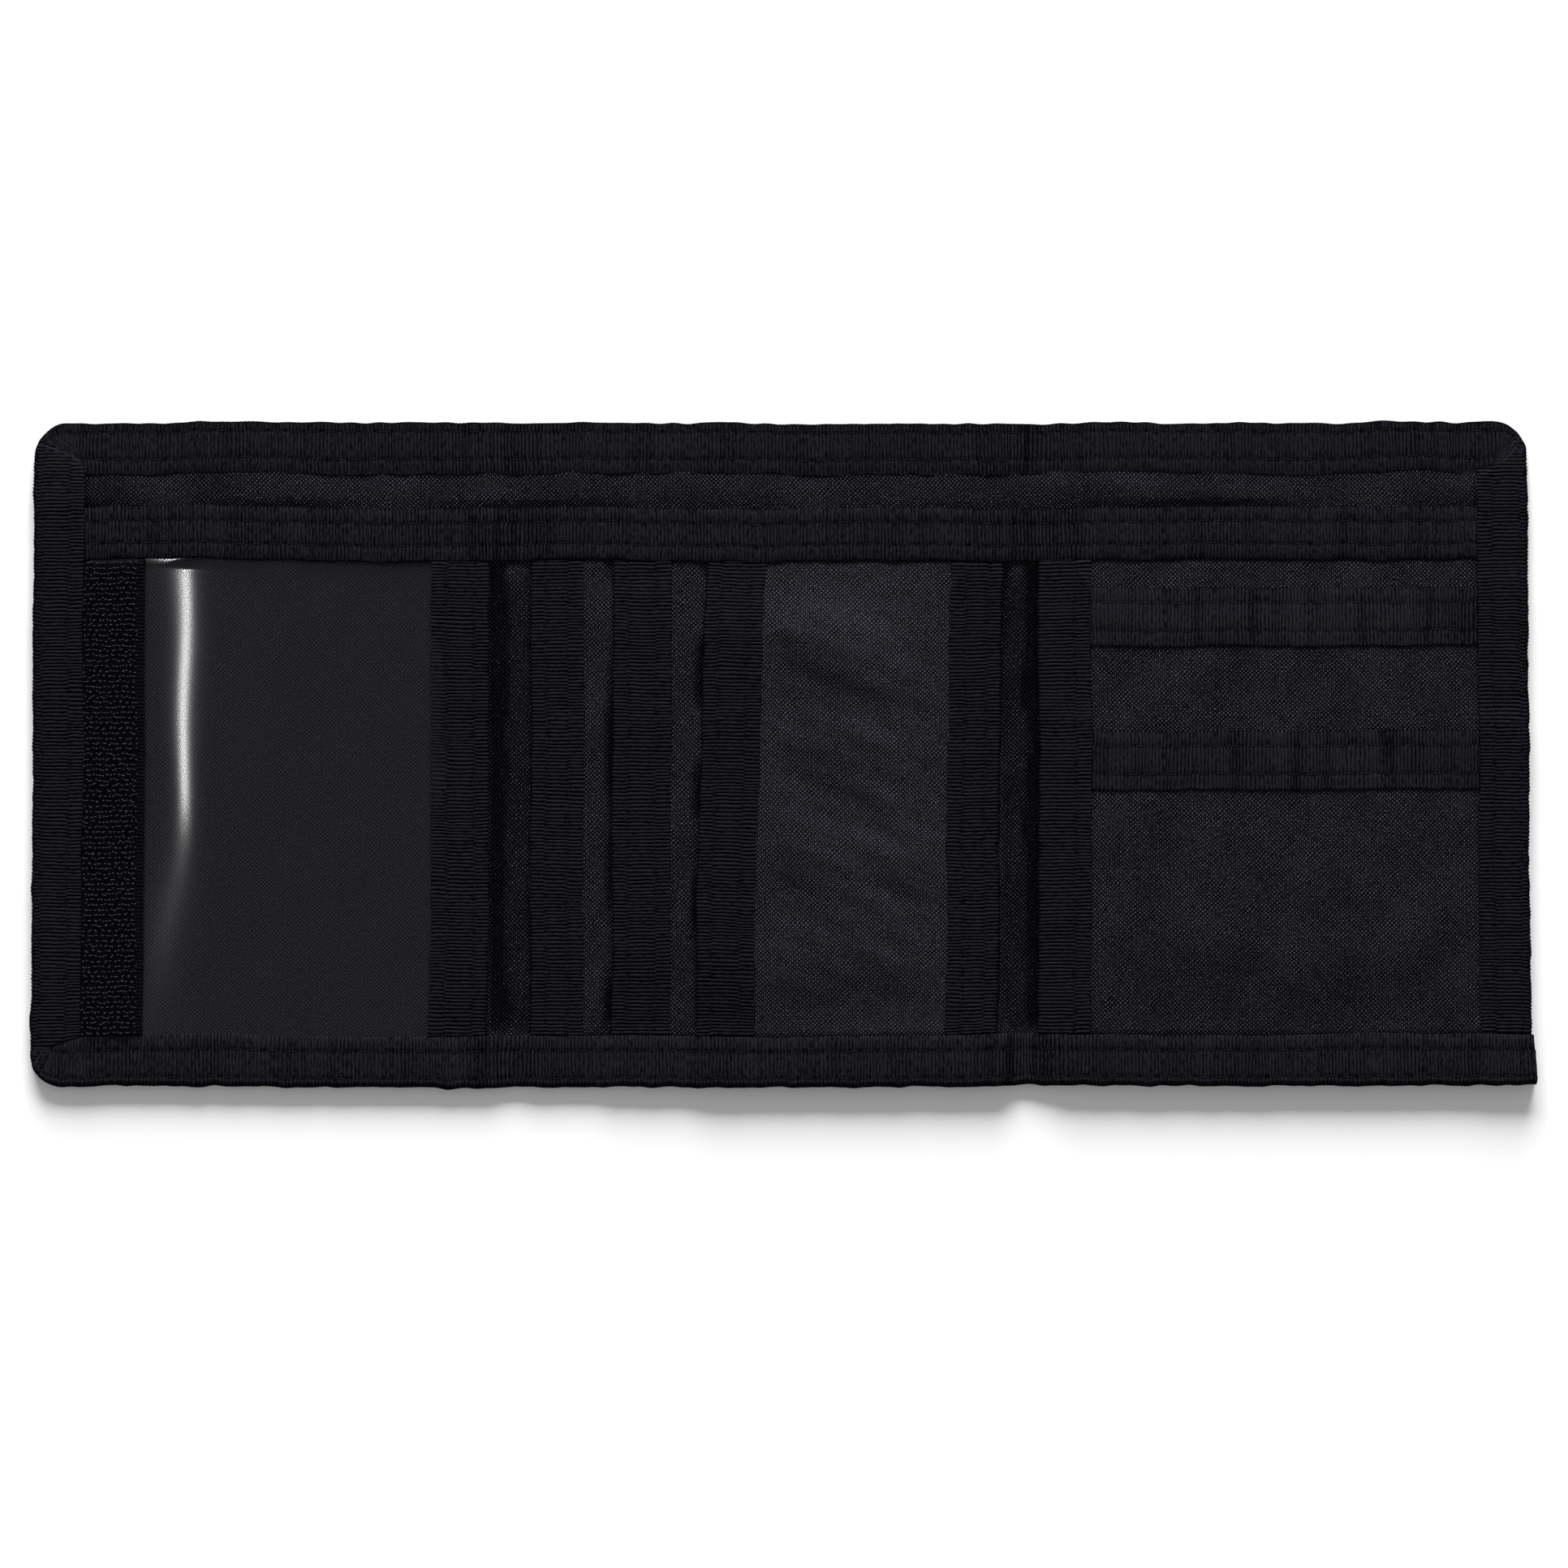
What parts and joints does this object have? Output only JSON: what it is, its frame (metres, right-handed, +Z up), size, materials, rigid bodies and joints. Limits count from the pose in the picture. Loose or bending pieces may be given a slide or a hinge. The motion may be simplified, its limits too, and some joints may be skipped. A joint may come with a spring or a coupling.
{
  "type": "trifold wallet",
  "caption": "Black nylon trifold wallet lying open: note compartment, card pockets, clear identity window, ribbed tape edges and a hook-and-loop closure; both flaps fold in.",
  "frame": {"origin": "under the middle of the open wallet, on the plane that it lies on", "axes": "+X along the open wallet from the flap with the clear window to the flap with the card slots, +Y towards the open top edge of the note compartment, +Z up out of the inside face"},
  "size_m": [0.283, 0.126, 0.0057],
  "materials": {
    "shell_cloth": "plain-woven black nylon, slight sheen",
    "lining_cloth": "fine plain-woven black nylon",
    "pocket_cloth": "fine plain-woven black nylon, small bright thread glints",
    "ribbed_tape": "ribbed black grosgrain tape, soft sheen on the ribs",
    "sewing_thread": "twisted black polyester thread",
    "clear_film": "clear flexible vinyl, glossy",
    "hook_strip": "black nylon hook tape",
    "loop_strip": "black brushed loop pile"
  },
  "bodies": {
    "middle": {"bottom_edge_binding_middle": "ribbed_tape", "card_pocket_1": "pocket_cloth", "card_pocket_2": "pocket_cloth", "card_pocket_3": "pocket_cloth", "card_pocket_binding_1": "ribbed_tape", "card_pocket_binding_2": "ribbed_tape", "card_pocket_binding_3": "ribbed_tape", "cash_divider_binding_middle": "ribbed_tape", "cash_divider_middle": "pocket_cloth", "outer_shell_middle": "shell_cloth", "pocket_end_binding": "ribbed_tape", "sewing_thread_middle": "sewing_thread", "shell_lining_middle": "lining_cloth", "top_edge_binding_middle": "ribbed_tape"},
    "left_spine": {"bottom_edge_binding_left_spine": "ribbed_tape", "cash_divider_binding_left_spine": "ribbed_tape", "cash_divider_left_spine": "pocket_cloth", "outer_shell_left_spine": "shell_cloth", "sewing_thread_left_spine": "sewing_thread", "shell_lining_left_spine": "lining_cloth", "top_edge_binding_left_spine": "ribbed_tape"},
    "left_flap": {"bottom_edge_binding_left_flap": "ribbed_tape", "cash_divider_binding_left_flap": "ribbed_tape", "cash_divider_left_flap": "pocket_cloth", "hook_tape": "hook_strip", "id_window": "clear_film", "left_edge_binding": "ribbed_tape", "outer_shell_left_flap": "shell_cloth", "sewing_thread_left_flap": "sewing_thread", "shell_lining_left_flap": "lining_cloth", "top_edge_binding_left_flap": "ribbed_tape", "window_edge_binding": "ribbed_tape"},
    "right_spine": {"bottom_edge_binding_right_spine": "ribbed_tape", "cash_divider_binding_right_spine": "ribbed_tape", "cash_divider_right_spine": "pocket_cloth", "outer_shell_right_spine": "shell_cloth", "sewing_thread_right_spine": "sewing_thread", "shell_lining_right_spine": "lining_cloth", "top_edge_binding_right_spine": "ribbed_tape"},
    "right_flap": {"bottom_edge_binding_right_flap": "ribbed_tape", "card_slot_1": "pocket_cloth", "card_slot_2": "pocket_cloth", "card_slot_binding_1": "ribbed_tape", "card_slot_binding_2": "ribbed_tape", "cash_divider_binding_right_flap": "ribbed_tape", "cash_divider_right_flap": "pocket_cloth", "loop_tape": "loop_strip", "outer_shell_right_flap": "shell_cloth", "right_edge_binding": "ribbed_tape", "sewing_thread_right_flap": "sewing_thread", "shell_lining_right_flap": "lining_cloth", "slip_pocket": "pocket_cloth", "slip_pocket_binding": "ribbed_tape", "top_edge_binding_right_flap": "ribbed_tape"}
  },
  "joints": [
    {"name": "left_fold", "type": "hinge", "parent": "middle", "child": "left_spine", "pos_m": [-0.0488, 0, 0.0039], "axis": [0, 1, 0], "range_deg": [0, 90]},
    {"name": "left_fold_outer", "type": "hinge", "parent": "left_spine", "child": "left_flap", "pos_m": [-0.0563, 0, 0.0039], "axis": [0, 1, 0], "range_deg": [0, 90]},
    {"name": "right_fold", "type": "hinge", "parent": "middle", "child": "right_spine", "pos_m": [0.0426, 0, 0.0027], "axis": [0, -1, 0], "range_deg": [0, 90]},
    {"name": "right_fold_outer", "type": "hinge", "parent": "right_spine", "child": "right_flap", "pos_m": [0.0486, 0, 0.0027], "axis": [0, -1, 0], "range_deg": [0, 90]}
  ],
  "couplings": [
    {"joint": "left_fold_outer", "follows": "left_fold", "ratio": 1},
    {"joint": "right_fold_outer", "follows": "right_fold", "ratio": 1}
  ]
}
